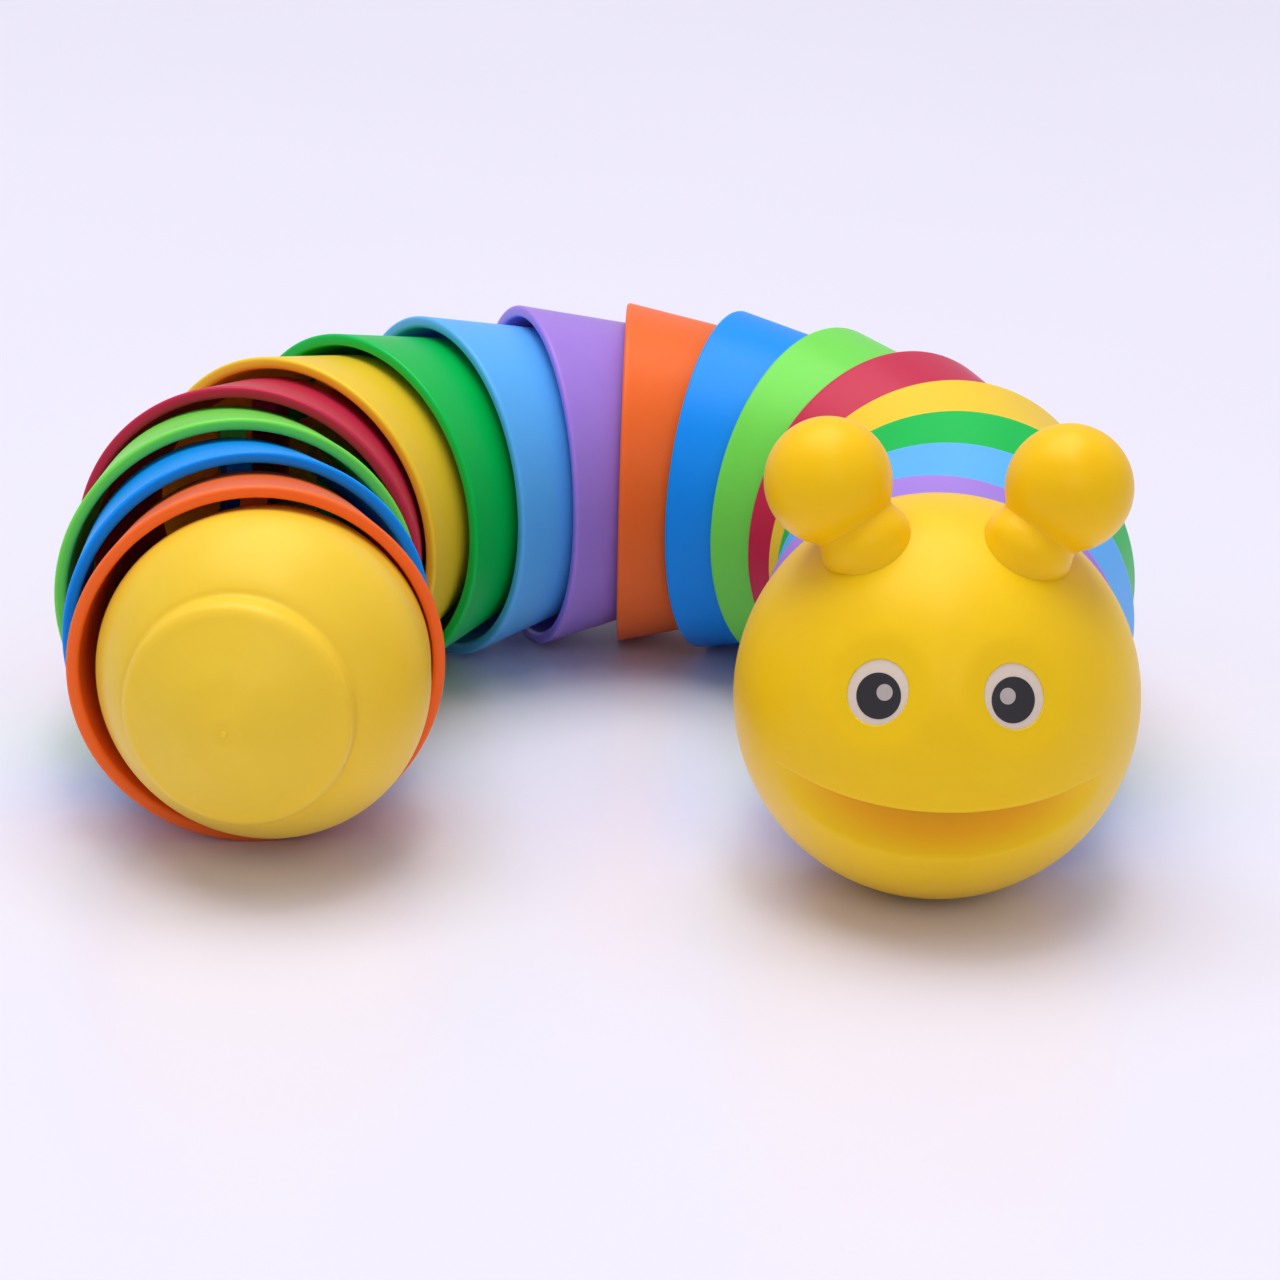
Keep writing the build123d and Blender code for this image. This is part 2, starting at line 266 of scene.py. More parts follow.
def lathe(bm, points, closed=True, around=AROUND):
    """Spins an outline of (along, radius) points round the X axis."""
    rings = []
    for along, radius in points:
        if radius < 1e-7:
            rings.append([bm.verts.new((along, 0, 0))])
            continue
        ring = []
        for k in range(around):
            angle = 2 * math.pi * k / around
            ring.append(bm.verts.new((along, radius * math.cos(angle), radius * math.sin(angle))))
        rings.append(ring)
    pairs = list(zip(rings, rings[1:]))
    if closed:
        pairs.append((rings[-1], rings[0]))
    for a, b in pairs:
        for k in range(around):
            n = (k + 1) % around
            if len(a) == 1 and len(b) == 1:
                break
            if len(a) == 1:
                bm.faces.new((a[0], b[k], b[n]))
            elif len(b) == 1:
                bm.faces.new((a[k], b[0], a[n]))
            else:
                bm.faces.new((a[k], b[k], b[n], a[n]))


def slab(bm, outline, half, across):
    """A closed slab: an outline pushed out by half each way.

    `across` places an outline point (u, v) and an offset w in space.
    """
    near = [bm.verts.new(across(u, v, -half)) for u, v in outline]
    far = [bm.verts.new(across(u, v, half)) for u, v in outline]
    count = len(outline)
    bm.faces.new(near[::-1])
    bm.faces.new(far)
    for k in range(count):
        n = (k + 1) % count
        bm.faces.new((near[k], near[n], far[n], far[k]))


def standing(u, v, w):
    """Outline along the chain and up, pushed sideways."""
    return (u, w, v)


def lying(u, v, w):
    """Outline along the chain and sideways, pushed up and down."""
    return (u, v, w)


def arc(centre, radius, start, end, steps):
    """Points on an arc, angles in degrees."""
    return [
        (
            centre[0] + radius * math.cos(math.radians(start + (end - start) * k / steps)),
            centre[1] + radius * math.sin(math.radians(start + (end - start) * k / steps)),
        )
        for k in range(steps + 1)
    ]


def add_web(bm, top, bottom, window=True):
    """Standing web inside a piece; top and bottom give (rear, front) heights."""
    rear, step, front, step_height = 1.6 * MM, WEB_STEP, WEB_FRONT, 10.5 * MM
    window_rear, window_height = 3.0 * MM, 4.9 * MM
    half = bpy.context.scene.worm_sizes.web / 2
    upper = [(rear, step_height), (step, step_height), (step, top[0]), (front, top[1])]
    lower = [(front, -bottom[1]), (step, -bottom[0]), (step, -step_height), (rear, -step_height)]
    if window:
        gap = [
            (front, window_height),
            (window_rear, window_height),
            (window_rear, -window_height),
            (front, -window_height),
        ]
        slab(bm, upper + gap + lower, half, standing)
    else:
        slab(bm, upper + lower, half, standing)


def add_bar(bm):
    """Upright bar that the clip of the piece ahead holds."""
    sizes = bpy.context.scene.worm_sizes
    centre = (sizes.pitch - sizes.hinge_behind_rim, 0)
    points = 24
    slab(bm, arc(centre, sizes.bar, 0, 360 - 360 / points, points - 1), BAR_HALF_HEIGHT, lying)


def add_clip(bm):
    """Tongue and C-shaped clip that reach back to the next piece's bar."""
    sizes = bpy.context.scene.worm_sizes
    centre = (-sizes.hinge_behind_rim, 0)
    mouth_out = math.degrees(math.asin(sizes.clip_mouth / 2 / sizes.clip))
    mouth_in = math.degrees(math.asin(sizes.clip_mouth / 2 / sizes.clip_bore))
    root = math.degrees(math.asin(sizes.web / 2 / sizes.clip))
    tongue_front = 3.0 * MM
    outline = arc(centre, sizes.clip, 180 + mouth_out, 360 - root, 16)
    outline += [(tongue_front, -sizes.web / 2), (tongue_front, sizes.web / 2)]
    outline += arc(centre, sizes.clip, root, 180 - mouth_out, 16)
    outline += arc(centre, sizes.clip_bore, 180 - mouth_in, -180 + mouth_in, 28)
    slab(bm, outline, CLIP_HALF_HEIGHT, lying)


def finish_piece(name, bm, matrix, material, body, nodes):
    """Turns a bmesh into a smooth piece that rides on a body for its nodes."""
    bmesh.ops.recalc_face_normals(bm, faces=bm.faces)
    mesh = bpy.data.meshes.new(name)
    bm.to_mesh(mesh)
    bm.free()
    mesh.shade_smooth()
    mesh.set_sharp_from_angle(angle=SHARP_FROM)
    mesh.materials.append(material)
    piece = bpy.data.objects.new(name, mesh)
    piece.matrix_world = matrix
    bpy.context.scene.collection.objects.link(piece)
    shading = piece.modifiers.new("even shading", "WEIGHTED_NORMAL")
    shading.keep_sharp = True
    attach(piece, body)
    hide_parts(*nodes)
    return piece


# ---------------------------------------------------------------------------
# Head and eyes
# ---------------------------------------------------------------------------


# The middle of the left eye in the head's frame, its half width and half
# height, and how far its top leans outward.
EYE_AT = Vector((16.4, 6.25, 6.25)) * MM
EYE_HALF = (2.82 * MM, 3.02 * MM)
EYE_LEAN = math.radians(24)

# A soft socket round each eye, a sharp pocket in it, and how far the print lies
# below the ball.
SOCKET_DEPTH = 0.42 * MM
POCKET_DEPTH = 0.26 * MM
PRINT_SUNK = 0.55 * MM

# Radius of the ball's inside, and of its lining behind the rim.
HEAD_INSIDE = 16.8 * MM


def eye_axes(side):
    """Outward, across and up directions of an eye; side is 1 left, -1 right."""
    outward = Vector((EYE_AT.x, side * EYE_AT.y, EYE_AT.z)).normalized()
    across = UP.cross(outward).normalized()
    lean = Matrix.Rotation(side * EYE_LEAN, 3, outward)
    return outward, lean @ across, lean @ outward.cross(across)


def eye_reach(point, side):
    """How far out a point is on an eye's oval: 1 on its edge."""
    outward, across, up = eye_axes(side)
    if point.dot(outward) < 0:
        return math.inf
    return math.hypot(point.dot(across) / EYE_HALF[0], point.dot(up) / EYE_HALF[1])


def smile_ball(bm, sizes):
    """The ball in rows from crown to chin, with the lip and the recess below it.

    It is laid out upright and tipped nose-down at the end. Each vertex keeps how
    far in it lies in the layer "recess", which paints shade into the plastic's colour there.
    """
    radius = sizes.head_radius
    tip = Matrix.Rotation(sizes.smile_tip, 3, "Y")
    lip = 0.4 * MM
    lip_round = 0.35 * MM
    # The floor of the recess swings about a line behind the ball's middle, so it
    # is deepest in front and runs out at the corners of the smile.
    swing = 9.0 * MM
    # The floor's rows go on a little past the place where it meets the ball.
    reach_down = 1.12
    around = 320
    brow_rows, edge_rows, under_rows, floor_rows, chin_rows = 83, 7, 5, 44, 56

    def recess(height, angle):
        """Distance from the ball's upright line to the skin, at a height."""
        drop = max((lip - height) / sizes.smile_drop, 0.0)
        ball = math.sqrt(max(radius**2 - height**2, 0.0))
        depth = -soft_min(-sizes.smile_depth * (1 - drop**2.4), 0.0, 0.35 * MM)
        if depth <= 1e-7:
            return ball
        along = swing * math.cos(angle)
        reach = math.sqrt(along**2 - swing**2 + (ball + swing - depth) ** 2) - along
        return soft_min(ball, reach, min(0.3 * MM, depth / 2))

    quarter = math.pi / 2
    top = math.asin(lip / radius) + 0.4 * MM / radius
    low = math.asin((lip - sizes.smile_drop * reach_down) / radius)
    rows = [("skin", quarter + (top - quarter) * k / brow_rows) for k in range(1, brow_rows + 1)]
    rows += [("edge", k / edge_rows) for k in range(1, edge_rows + 1)]
    rows += [("under", k / under_rows) for k in range(1, under_rows + 1)]
    rows += [("floor", reach_down * k / floor_rows) for k in range(1, floor_rows + 1)]
    rows += [("skin", low + (-quarter - low) * k / chin_rows) for k in range(1, chin_rows + 1)]

    full = math.sqrt(radius**2 - lip**2)
    columns = []
    for j in range(around):
        angle = 2 * math.pi * (j + 0.5) / around
        inner = recess(lip - 1e-7, angle)
        corner = min(lip_round, max((full - inner) * 0.8, 1e-6))
        columns.append((angle, inner, corner))

    # Weight of the painted shade in the recess, read by the head's material.
    hollow = bm.verts.layers.float.new("recess")
    crown = bm.verts.new(tip @ Vector((0, 0, radius)))
    rings = []
    for kind, value in rows:
        ring = []
        for angle, inner, corner in columns:
            if kind == "skin":
                height = radius * math.sin(value)
                flat = radius * math.cos(value)
            elif kind == "edge":
                flat = full - corner + corner * math.cos(value * quarter)
                height = lip + corner - corner * math.sin(value * quarter)
                height = min(height, radius * math.sin(top))
            elif kind == "under":
                flat = (full - corner) + (inner - full + corner) * value
                height = lip
            else:
                height = lip - sizes.smile_drop * value
                flat = recess(height, angle)
            spot = Vector((flat * math.cos(angle), flat * math.sin(angle), height))
            made = bm.verts.new(tip @ spot)
            # Painted shade weight: 0 on the ball, full two millimetres in under the lip.
            made[hollow] = soft_step(radius - spot.length, 0.05 * MM, 2.0 * MM)
            ring.append(made)
        rings.append(ring)
    chin = bm.verts.new(tip @ Vector((0, 0, -radius)))
    for j in range(around):
        n = (j + 1) % around
        bm.faces.new((crown, rings[0][j], rings[0][n]))
        bm.faces.new((chin, rings[-1][n], rings[-1][j]))
        for a, b in zip(rings, rings[1:]):
            bm.faces.new((a[j], b[j], b[n], a[n]))
    bmesh.ops.remove_doubles(bm, verts=bm.verts, dist=2e-6)


def sink_eyes(bm, radius):
    """Makes the mesh finer round the eyes, then sinks their sockets and pockets."""
    fine, smoothed = 4.6 * MM, 5.2 * MM
    for side in (1, -1):
        outward = eye_axes(side)[0] * radius
        near = [e for e in bm.edges if all((v.co - outward).length < fine for v in e.verts)]
        bmesh.ops.subdivide_edges(bm, edges=near, cuts=4, use_grid_fill=True)
        for v in bm.verts:
            if (v.co - outward).length < smoothed:
                v.co = v.co.normalized() * radius
    for v in bm.verts:
        if v.co.x < 10 * MM or v.co.z < 0:
            continue
        for side in (1, -1):
            out = eye_reach(v.co, side)
            socket = SOCKET_DEPTH * (1 - soft_step(out, 0.98, 1.95))
            pocket = POCKET_DEPTH * (1 - soft_step(out, 1.0, 1.06))
            v.co -= v.co.normalized() * (socket + pocket)


def open_back(bm, radius, cut):
    """Cuts the ball open behind `cut`, rounds the rim and lines the inside."""
    bmesh.ops.bisect_plane(
        bm,
        geom=bm.verts[:] + bm.edges[:] + bm.faces[:],
        plane_co=(cut, 0, 0),
        plane_no=(-1, 0, 0),
        clear_outer=True,
    )
    border = [e for e in bm.edges if e.is_boundary]
    rim = math.sqrt(radius**2 - cut**2)
    lining = [
        (cut - 0.12 * MM, rim - 0.14 * MM),
        (cut - 0.16 * MM, rim - 0.40 * MM),
        (cut - 0.16 * MM, rim - 0.85 * MM),
        (cut - 0.10 * MM, rim - 1.10 * MM),
        (cut + 0.20 * MM, rim - 1.24 * MM),
        (-2.0 * MM, 17.1 * MM),
    ]
    lining += [
        (HEAD_INSIDE * math.sin(math.radians(a)), HEAD_INSIDE * math.cos(math.radians(a)))
        for a in range(5, 86, 8)
    ]
    previous = {v: v for e in border for v in e.verts}
    rim_of = {v: math.hypot(v.co.y, v.co.z) for v in previous}
    for along, reach in lining:
        current = {}
        for v in previous:
            factor = reach / rim_of[v]
            current[v] = bm.verts.new((along, v.co.y * factor, v.co.z * factor))
        for e in border:
            a, b = e.verts
            bm.faces.new((previous[a], previous[b], current[b], current[a]))
        previous = current
    middle = bm.verts.new((HEAD_INSIDE, 0, 0))
    for e in border:
        a, b = e.verts
        bm.faces.new((previous[a], previous[b], middle))


def film(name, centre, half, axes, surface, material, nodes):
    """A thin printed film that follows the ball at a given distance from its middle.

    `centre` and `half` place and size its oval along the across and up axes.
    """
    outward, across, up = axes
    rings, around = 14, 96
    # How far the film's edge is turned down, ring by ring, to its underside.
    sinks = (0, 0.02, 0.06, 0.3)
    bm = bmesh.new()

    def spot(u, v, distance):
        flat = across * u + up * v
        return flat + outward * math.sqrt(distance**2 - u * u - v * v)

    loops = []
    for k in range(1, rings + 4):
        share = min(k / rings, 1.0)
        sunk = sinks[max(k - rings, 0)] * MM
        loop = []
        for j in range(around):
            angle = 2 * math.pi * j / around
            u = centre[0] + half[0] * share * math.cos(angle)
            v = centre[1] + half[1] * share * math.sin(angle)
            loop.append(bm.verts.new(spot(u, v, surface - sunk)))
        loops.append(loop)
    middle = bm.verts.new(spot(centre[0], centre[1], surface))
    bottom = bm.verts.new(spot(centre[0], centre[1], surface - sinks[-1] * MM))
    for j in range(around):
        n = (j + 1) % around
        bm.faces.new((middle, loops[0][j], loops[0][n]))
        bm.faces.new((bottom, loops[-1][n], loops[-1][j]))
        for a, b in zip(loops, loops[1:]):
            bm.faces.new((a[j], b[j], b[n], a[n]))
    return finish_piece(name, bm, head_matrix(), material, "head", nodes)


# ---------------------------------------------------------------------------
# Materials
# ---------------------------------------------------------------------------


def linear(hex_value):
    """Linear RGBA of an sRGB hex value."""
    parts = [int(hex_value[i : i + 2], 16) / 255 for i in (1, 3, 5)]
    return (*[c / 12.92 if c <= 0.04045 else ((c + 0.055) / 1.055) ** 2.4 for c in parts], 1.0)


def shade(rgba, factor):
    """The same colour made lighter or darker."""
    return (*[min(1.0, c * factor) for c in rgba[:3]], 1.0)


def node(tree, kind, values=None, links=None, **settings):
    """Adds a node with its settings, socket values and links."""
    made = tree.nodes.new(kind)
    for key, value in settings.items():
        setattr(made, key, value)
    for socket, value in (values or {}).items():
        made.inputs[socket].default_value = value
    for socket, source in (links or {}).items():
        tree.links.new(source, made.inputs[socket])
    return made


def new_material(name):
    """An empty node material and its output."""
    material = bpy.data.materials.new(name)
    material.use_nodes = True
    material.node_tree.nodes.clear()
    return material, material.node_tree


def moulded_plastic(name, hex_value, seed, recess_shade=None):
    """Injection-moulded ABS from a finely textured steel mould.

    The eye sees one even pigment with a soft sheen: light sinks in a little and
    comes back warmer at thin edges, and the fine mould texture widens the
    highlights. Faint flow marks shift the tone by a few percent, and `seed`
    shifts them from colour to colour. Where the mesh marks a recess, painted shade
    takes the tone towards a darker given hex value.
    """
    material, tree = new_material(name)
    flow_size = 8 * MM
    # The mould's texture is about 0.1 mm, drawn coarser so that it shows.
    grain_size = 0.4 * MM
    drift = 0.045
    roughness = 0.36
    base = linear(hex_value)
    # The sheen takes on some of the pigment, the more so the purer it is.
    sheen = (*[0.4 + 0.6 * c / max(base[:3]) for c in base[:3]], 1.0)
    place = node(tree, "ShaderNodeTexCoord")
    moved = node(
        tree,
        "ShaderNodeMapping",
        values={"Location": (seed, seed * 0.7, seed * 1.3)},
        links={"Vector": place.outputs["Object"]},
    )
    flow = node(
        tree,
        "ShaderNodeTexNoise",
        values={"Scale": 1 / flow_size, "Detail": 3.0, "Roughness": 0.55, "Distortion": 0.6},
        links={"Vector": moved.outputs["Vector"]},
    )
    grain = node(
        tree,
        "ShaderNodeTexNoise",
        values={"Scale": 1 / grain_size, "Detail": 2.0, "Roughness": 0.6},
        links={"Vector": moved.outputs["Vector"]},
    )
    tone = node(
        tree,
        "ShaderNodeMix",
        data_type="RGBA",
        values={"A": shade(base, 1 - drift), "B": shade(base, 1 + drift)},
        links={"Factor": flow.outputs["Fac"]},
    )
    # Painted shade: the tone goes towards the darker given colour where the "recess" layer marks the
    # smile's recess.
    if recess_shade:
        hollow = node(tree, "ShaderNodeAttribute", attribute_name="recess")
        tone = node(
            tree,
            "ShaderNodeMix",
            data_type="RGBA",
            values={"B": linear(recess_shade)},
            links={"Factor": hollow.outputs["Fac"], "A": tone.outputs["Result"]},
        )
    rough = node(
        tree,
        "ShaderNodeMapRange",
        values={
            "From Min": 0.3,
            "From Max": 0.7,
            "To Min": roughness - 0.035,
            "To Max": roughness + 0.045,
        },
        links={"Value": flow.outputs["Fac"]},
    )
    texture = node(
        tree,
        "ShaderNodeBump",
        values={"Strength": 0.10, "Distance": 0.02 * MM},
        links={"Height": grain.outputs["Fac"]},
    )
    sink = node(
        tree,
        "ShaderNodeBump",
        values={"Strength": 0.12, "Distance": 0.12 * MM},
        links={"Height": flow.outputs["Fac"], "Normal": texture.outputs["Normal"]},
    )
    plastic = node(
        tree,
        "ShaderNodeBsdfPrincipled",
        values={
            "IOR": 1.5,
            "Subsurface Weight": 0.32,
            "Subsurface Radius": (1.0, 0.8, 0.55),
            "Subsurface Scale": 1.5 * MM,
            "Specular IOR Level": 0.42,
            "Specular Tint": sheen,
        },
        links={
            "Base Color": tone.outputs["Result"],
            "Roughness": rough.outputs["Result"],
            "Normal": sink.outputs["Normal"],
        },
    )
    node(
        tree,
        "ShaderNodeOutputMaterial",
        links={"Surface": plastic.outputs["BSDF"]},
    )
    return material


def printed_ink(name, hex_value, roughness):
    """Pad-printed ink: an even film with a slight orange-peel and faint mottling."""
    material, tree = new_material(name)
    mottle_size = 0.7 * MM
    base = linear(hex_value)
    place = node(tree, "ShaderNodeTexCoord")
    mottle = node(
        tree,
        "ShaderNodeTexNoise",
        values={"Scale": 1 / mottle_size, "Detail": 3.0},
        links={"Vector": place.outputs["Object"]},
    )
    tone = node(
        tree,
        "ShaderNodeMix",
        data_type="RGBA",
        values={"A": shade(base, 0.93), "B": shade(base, 1.05)},
        links={"Factor": mottle.outputs["Fac"]},
    )
    peel = node(
        tree,
        "ShaderNodeBump",
        values={"Strength": 0.15, "Distance": 0.02 * MM},
        links={"Height": mottle.outputs["Fac"]},
    )
    ink = node(
        tree,
        "ShaderNodeBsdfPrincipled",
        values={"Roughness": roughness, "IOR": 1.48},
        links={"Base Color": tone.outputs["Result"], "Normal": peel.outputs["Normal"]},
    )
    node(tree, "ShaderNodeOutputMaterial", links={"Surface": ink.outputs["BSDF"]})
    return material


def lacquered_table(name, hex_value):
    """White-lacquered board: pale, slightly glossy, with a few specks of dust."""
    material, tree = new_material(name)
    cloud_size = 90 * MM
    speck_spacing, speck_core, speck_edge = 120 * MM, 0.24 * MM, 0.6 * MM
    base = linear(hex_value)
    place = node(tree, "ShaderNodeTexCoord")
    cloud = node(
        tree,
        "ShaderNodeTexNoise",
        values={"Scale": 1 / cloud_size, "Detail": 2.0},
        links={"Vector": place.outputs["Object"]},
    )
    specks = node(
        tree,
        "ShaderNodeTexVoronoi",
        feature="F1",
        values={"Scale": 1 / speck_spacing, "Randomness": 1.0},
        links={"Vector": place.outputs["Object"]},
    )
    near = node(
        tree,
        "ShaderNodeMapRange",
        values={
            "From Min": speck_core / speck_spacing,
            "From Max": speck_edge / speck_spacing,
            "To Min": 0.7,
            "To Max": 1.0,
        },
        links={"Value": specks.outputs["Distance"]},
    )
    tone = node(
        tree,
        "ShaderNodeMix",
        data_type="RGBA",
        values={"A": shade(base, 0.97), "B": shade(base, 1.02)},
        links={"Factor": cloud.outputs["Fac"]},
    )
    dusty = node(
        tree,
        "ShaderNodeMix",
        data_type="RGBA",
        blend_type="MULTIPLY",
        values={"Factor": 1.0},
        links={"A": tone.outputs["Result"], "B": near.outputs["Result"]},
    )
    lacquer = node(
        tree,
        "ShaderNodeBsdfPrincipled",
        values={"Roughness": 0.29, "IOR": 1.45, "Specular IOR Level": 0.6},
        links={"Base Color": dusty.outputs["Result"]},
    )
    node(tree, "ShaderNodeOutputMaterial", links={"Surface": lacquer.outputs["BSDF"]})
    return material


# ---------------------------------------------------------------------------
# Light and camera
# ---------------------------------------------------------------------------

# Half the table's side in metres, and the room's even light: colour, strength.
TABLE_HALF = 3.0
ROOM_LIGHT = ("#EDEBFA", 0.56)

# Soft boxes: name, place, what it points at, size (all in metres), watts, colour.
SOFT_BOXES = (
    ("overhead soft box", (-0.15, 0.25, 1.30), (0, 0, 0), (1.2, 0.9), 11.8, "#FFFDFA"),
    ("front top strip", (0.04, -0.24, 1.10), (0.03, -0.03, 0.02), (0.22, 0.50), 1.8, "#FFFDFA"),
    ("front fill", (0.20, -1.3, 0.80), (0, 0, 0.02), (0.9, 0.6), 2.2, "#F6F5FF"),
)

# The camera: its lens in millimetres, where it stands, how far it looks down
# and its roll.
CAMERA_LENS = 140.625
CAMERA_AT = Vector((0.00412, -0.47075, 0.18246))
CAMERA_DOWN = math.radians(19.954)
CAMERA_ROLL = math.radians(1.5)


def camera_matrix():
    """Camera pose: looks along +Y, tips down, then rolls about its own view."""
    stand = Matrix.Rotation(math.pi / 2 - CAMERA_DOWN, 4, "X")
    roll = Matrix.Rotation(CAMERA_ROLL, 4, "Z")
    return Matrix.Translation(CAMERA_AT) @ stand @ roll


def soft_box(scene, name, place, target, size, power, tint):
    """A rectangular area light that points at its target."""
    light = bpy.data.lights.new(name, "AREA")
    light.shape = "RECTANGLE"
    light.size, light.size_y = size
    light.energy = power
    light.color = linear(tint)[:3]
    box = bpy.data.objects.new(name, light)
    box.location = place
    box.rotation_euler = (Vector(target) - Vector(place)).to_track_quat("-Z", "Y").to_euler()
    scene.collection.objects.link(box)


# ---------------------------------------------------------------------------
# Operators
# ---------------------------------------------------------------------------


class WORM_OT_segments(bpy.types.Operator):
    """Moulds the sixteen nested cone segments"""

    bl_idname = "worm.segments"
    bl_label = "Segments"

    def execute(self, context):
        sizes = context.scene.worm_sizes
        colours = context.scene.worm_colours
        across = sizes.wall / math.cos(sizes.cone)
        slope = math.tan(sizes.cone)
        shoulder = sizes.rim_radius - sizes.segment_length * slope
        # Corners of the wall's section: along, radius, and how far it is rounded.
        skirt = rounded(
            [
                (0, sizes.rim_radius, 0.35 * MM),
                (sizes.segment_length, shoulder, 1.0 * MM),
                (sizes.segment_length, shoulder - across, 0.15 * MM),
                (0, sizes.rim_radius - across, 0.5 * MM),
            ]
        )
        reach = (
            sizes.rim_radius - WEB_STEP * slope - across / 2,
            sizes.rim_radius - WEB_FRONT * slope - across / 2,
        )
        plastics = {}
        for number in range(1, 17):
            body = CHAIN[number]
            cad_node = NODE_OF[body][0]
            tint = cad_node.split("_", 2)[2]
            if tint not in plastics:
                plastics[tint] = moulded_plastic(
                    f"{tint.replace('_', ' ')} moulded ABS",
                    getattr(colours, tint),
                    seed=0.01 * len(plastics),
                )
            bm = bmesh.new()
            lathe(bm, with_support(skirt, 0.25 * MM))
            add_web(bm, reach, reach)
            add_bar(bm)
            add_clip(bm)
            finish_piece(
                f"{body}_{tint}_shell",
                bm,
                placed(*station(number)),
                plastics[tint],
                body,
                [cad_node],
            )
        return {"FINISHED"}


class WORM_OT_tail_cap(bpy.types.Operator):
    """Moulds the domed tail cap with its stepped button end"""

    bl_idname = "worm.tail_cap"
    bl_label = "Tail cap"

    def execute(self, context):
        sizes = context.scene.worm_sizes
        colours = context.scene.worm_colours
        slope = math.tan(sizes.cone)
        # The cap's outline, (along, radius) in millimetres: its cone, dome, button
        # and dish from the front edge back, the mark of the mould's gate, and
        # the inside from the back forward.
        outer = [(15.0, 18.0 - 15.0 * slope), (14.8, 18.05 - 14.8 * slope)]
        outer += smooth_run(
            [
                (11.0, 18.0 - 11.0 * slope),
                (9.5, 15.85),
                (7.6, 15.95),
                (6.0, 15.65),
                (4.5, 15.05),
                (3.0, 14.25),
                (1.6, 13.3),
                (0.5, 12.4),
                (-0.2, 11.7),
                (-0.55, 11.22),
                (-0.85, 11.0),
                (-1.3, 10.94),
                (-2.0, 10.95),
                (-2.5, 10.88),
                (-3.0, 10.6),
                (-3.45, 10.05),
                (-3.9, 9.2),
                (-4.9, 7.5),
                (-6.3, 5.0),
                (-7.25, 2.6),
                (-7.62, 1.5),
                (-7.66, 0.95),
                (-7.64, 0.5),
            ],
            steps=5,
        )
        gate = [(-7.66, 0.38), (-7.8, 0.32), (-7.86, 0.18), (-7.87, 0.0)]
        inner = [(-6.6, 0.0), (-6.2, 3.0), (-5.0, 5.6), (-3.0, 8.6), (-1.4, 9.7)]
        inner += [(0.4, 10.6), (2.4, 12.4), (4.5, 13.8), (9.5, 14.6), (15.0, 13.45)]
        bm = bmesh.new()
        lathe(bm, [Vector(p) * MM for p in outer + gate + inner])
        web_heights = (14.7 * MM, 14.5 * MM)
        add_web(bm, web_heights, web_heights)
        add_bar(bm)
        plastic = moulded_plastic("tail yellow moulded ABS", colours.cap, seed=0.13)
        finish_piece(
            "tail_cap_shell",
            bm,
            placed(*station(len(CHAIN) - 1)),
            plastic,
            "tail",
            ["tail_cap"],
        )
        return {"FINISHED"}


class WORM_OT_head(bpy.types.Operator):
    """Moulds the hollow head ball with its smile and eye pockets"""

    bl_idname = "worm.head"
    bl_label = "Head"

    def execute(self, context):
        sizes = context.scene.worm_sizes
        colours = context.scene.worm_colours
        radius = sizes.head_radius
        cut = -sizes.head_ahead
        bm = bmesh.new()
        smile_ball(bm, sizes)
        sink_eyes(bm, radius)
        open_back(bm, radius, cut)

        # The web and the clip, which are laid out from the rim on the chain's axis.
        inside = bmesh.new()
        add_web(inside, (18.4 * MM, 17.4 * MM), (16.6 * MM, 15.6 * MM), window=False)
        add_clip(inside)
        chain_height = station(0)[0].z
        bmesh.ops.translate(inside, verts=inside.verts, vec=(cut, 0, chain_height - radius))
        link = bpy.data.meshes.new("head_link")
        inside.to_mesh(link)
        inside.free()
        bm.from_mesh(link)
        bpy.data.meshes.remove(link)

        # The mouth colour is painted shade in the smile's recess.
        plastic = moulded_plastic(
            "head yellow moulded ABS", colours.head, seed=0.31, recess_shade=colours.mouth
        )
        finish_piece(
            "head_ball", bm, head_matrix(), plastic, "head", ["head_shell"]
        )
        return {"FINISHED"}


class WORM_OT_feelers(bpy.types.Operator):
    """Moulds the two feelers with their round knobs and flared feet"""

    bl_idname = "worm.feelers"
    bl_label = "Feelers"

    def execute(self, context):
        sizes = context.scene.worm_sizes
        colours = context.scene.worm_colours
        plastic = moulded_plastic("feeler yellow moulded ABS", colours.feeler, seed=0.47)
        # The peg in the head and the flared foot, (along, radius) in millimetres.
        peg = [(-3.4, 0.0), (-3.4, 1.85), (-3.25, 2.0), (-3.0, 2.0), (-3.0, 3.9)]
        foot = smooth_run([(-1.5, 4.1), (-0.6, 4.3), (0.1, 4.32), (0.7, 4.2), (1.2, 4.02), (1.7, 3.86)])
        meet = math.degrees(math.asin(sizes.neck * 1.04 / sizes.knob))
        for side, name in ((1, "left"), (-1, "right")):
            base = Vector((4.8, side * 7.5, 16.7)) * MM
            tip = Vector((3.5, side * 11.0, 21.9)) * MM
            stem = (tip - base).length
            outline = [(x * MM, y * MM) for x, y in peg + foot]
            outline += arc((stem, 0), sizes.knob, 180 - meet, 0, 40)[1:]
            bm = bmesh.new()
            lathe(bm, outline, closed=False, around=96)
            forward = (tip - base).normalized()
            local = Matrix.Translation(base) @ forward.to_track_quat("X", "Z").to_matrix().to_4x4()
            finish_piece(
                f"feeler_{name}_knob",
                bm,
                head_matrix() @ local,
                plastic,
                "head",
                [f"feeler_{name}"],
            )
        return {"FINISHED"}


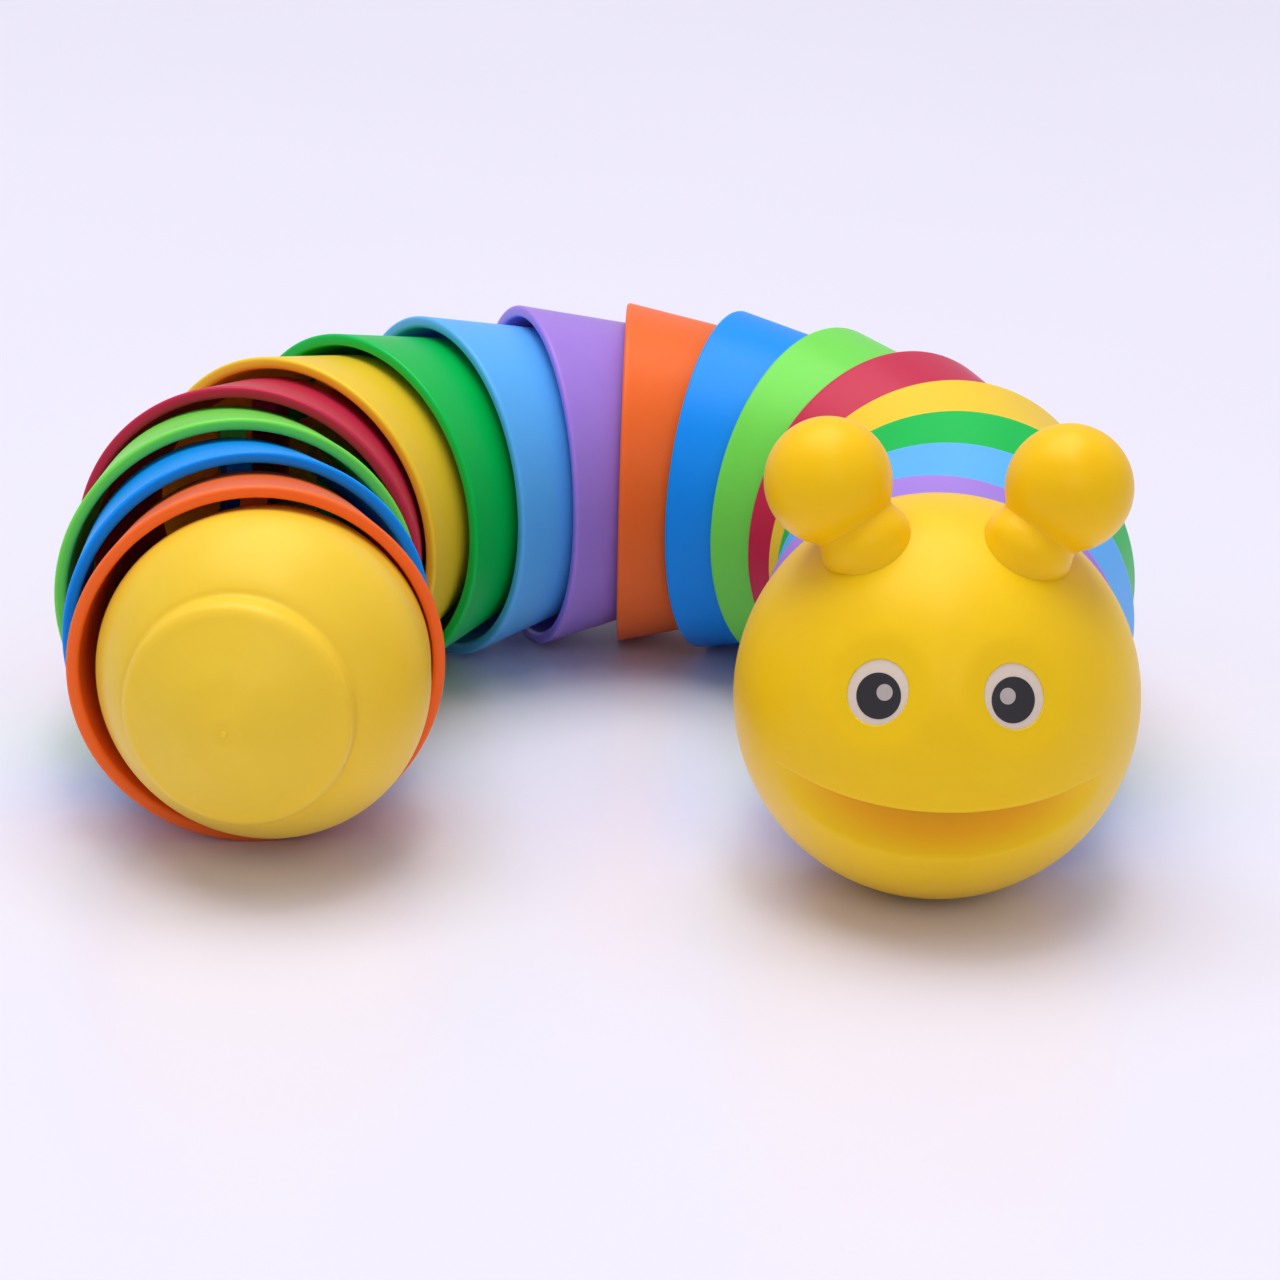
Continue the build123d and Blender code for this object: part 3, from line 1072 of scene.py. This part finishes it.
class WORM_OT_eyes(bpy.types.Operator):
    """Prints the whites, pupils and glints of the eyes"""

    bl_idname = "worm.eyes"
    bl_label = "Eyes"

    def execute(self, context):
        sizes = context.scene.worm_sizes
        colours = context.scene.worm_colours
        white = printed_ink("white pad-printing ink", colours.eye_white, 0.42)
        black = printed_ink("black pad-printing ink", colours.pupil, 0.38)
        pale = printed_ink("pale grey pad-printing ink", colours.glint, 0.42)
        surface = sizes.head_radius - PRINT_SUNK
        for side, name in ((1, "left"), (-1, "right")):
            outward = eye_axes(side)[0]
            across = UP.cross(outward).normalized()
            level = (outward, across, outward.cross(across))
            film(
                f"eye_{name}_white",
                (0, 0),
                EYE_HALF,
                eye_axes(side),
                surface,
                white,
                [f"eye_{name}"],
            )
            # Pupils sit a little inward and low, glints inward and high on them.
            middle = (-side * 0.15 * MM, -0.3 * MM)
            film(
                f"pupil_{name}_disc",
                middle,
                (sizes.pupil, sizes.pupil),
                level,
                surface + 0.04 * MM,
                black,
                [f"pupil_{name}"],
            )
            spot = (middle[0] - side * 0.55 * MM, middle[1] + 0.4 * MM)
            film(
                f"pupil_{name}_glint",
                spot,
                (sizes.glint, sizes.glint),
                level,
                surface + 0.07 * MM,
                pale,
                [],
            )
        return {"FINISHED"}


class WORM_OT_stage(bpy.types.Operator):
    """Sets up the pale table, the soft lights and the camera"""

    bl_idname = "worm.stage"
    bl_label = "Stage"

    def execute(self, context):
        scene = context.scene
        colours = scene.worm_colours
        bm = bmesh.new()
        bmesh.ops.create_grid(bm, x_segments=8, y_segments=8, size=TABLE_HALF)
        mesh = bpy.data.meshes.new("table_top")
        bm.to_mesh(mesh)
        bm.free()
        mesh.materials.append(lacquered_table("white lacquered board", colours.table))
        table = bpy.data.objects.new("table_top", mesh)
        scene.collection.objects.link(table)

        world = bpy.data.worlds.new("room light")
        world.use_nodes = True
        background = world.node_tree.nodes["Background"]
        background.inputs["Color"].default_value = linear(ROOM_LIGHT[0])
        background.inputs["Strength"].default_value = ROOM_LIGHT[1]
        scene.world = world

        for box in SOFT_BOXES:
            soft_box(scene, *box)

        camera = bpy.data.cameras.new("camera")
        camera.sensor_width = 36.0
        camera.lens = CAMERA_LENS
        camera.clip_start, camera.clip_end = 0.01, 20.0
        viewer = bpy.data.objects.new("camera", camera)
        viewer.matrix_world = camera_matrix()
        scene.collection.objects.link(viewer)
        scene.camera = viewer
        scene.view_settings.view_transform = "Standard"
        return {"FINISHED"}


class WORM_PT_panel(bpy.types.Panel):
    """Lists the pieces of the toy in the sidebar"""

    bl_label = "Fidget worm"
    bl_idname = "WORM_PT_panel"
    bl_space_type = "VIEW_3D"
    bl_region_type = "UI"
    bl_category = "Fidget worm"

    def draw(self, context):
        layout = self.layout
        for operator in OPERATORS:
            layout.operator(operator.bl_idname)
        for group in (context.scene.worm_sizes, context.scene.worm_colours):
            box = layout.box()
            for name in group.__annotations__:
                box.prop(group, name)


OPERATORS = (
    WORM_OT_segments,
    WORM_OT_tail_cap,
    WORM_OT_head,
    WORM_OT_feelers,
    WORM_OT_eyes,
    WORM_OT_stage,
)
CLASSES = (WormSizes, WormColours, *OPERATORS, WORM_PT_panel)


def register():
    """Registers the classes and hangs the sizes and colours on the scene."""
    for cls in CLASSES:
        bpy.utils.register_class(cls)
    bpy.types.Scene.worm_sizes = PointerProperty(type=WormSizes)
    bpy.types.Scene.worm_colours = PointerProperty(type=WormColours)


def unregister():
    """Undoes register()."""
    del bpy.types.Scene.worm_colours
    del bpy.types.Scene.worm_sizes
    for cls in reversed(CLASSES):
        bpy.utils.unregister_class(cls)


def main():
    """Makes every piece and the stage."""
    register()
    bpy.ops.worm.segments()
    bpy.ops.worm.tail_cap()
    bpy.ops.worm.head()
    bpy.ops.worm.feelers()
    bpy.ops.worm.eyes()
    bpy.ops.worm.stage()


if __name__ == "__main__":
    main()
